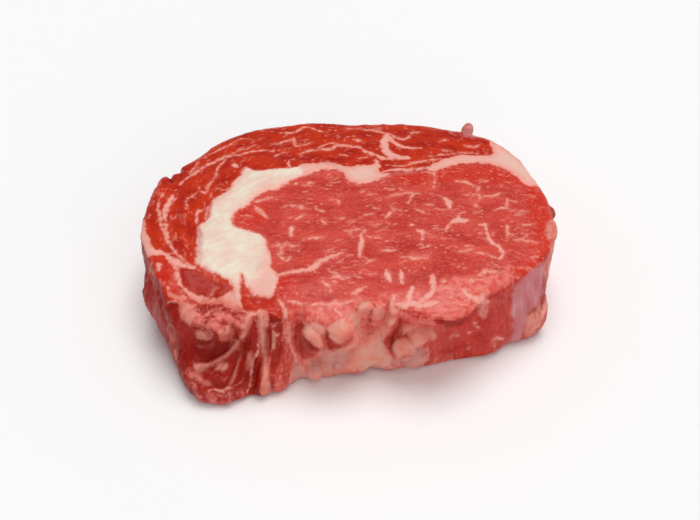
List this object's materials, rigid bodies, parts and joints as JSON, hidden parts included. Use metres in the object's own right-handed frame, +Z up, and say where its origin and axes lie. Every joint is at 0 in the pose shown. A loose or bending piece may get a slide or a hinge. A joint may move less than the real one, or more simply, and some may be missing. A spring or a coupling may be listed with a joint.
{
  "type": "raw ribeye steak",
  "caption": "Thick slab of raw boneless ribeye with a round eye muscle, a fat kernel, a curved cap, a folded tail corner and torn fat along the rib side, lying on its flat cut face.",
  "frame": {"origin": "middle of the underside, at the height of the surface that the steak lies on", "axes": "+X along the length, from the cap and tail towards the eye muscle; +Y from the rib side towards the cap at the back; +Z up through the thickness"},
  "size_m": [0.1658, 0.1308, 0.0409],
  "materials": {
    "raw_meat": "moist raw beef, red muscle with cream-white fat"
  },
  "bodies": {
    "root": {"steak": "raw_meat"}
  },
  "joints": []
}
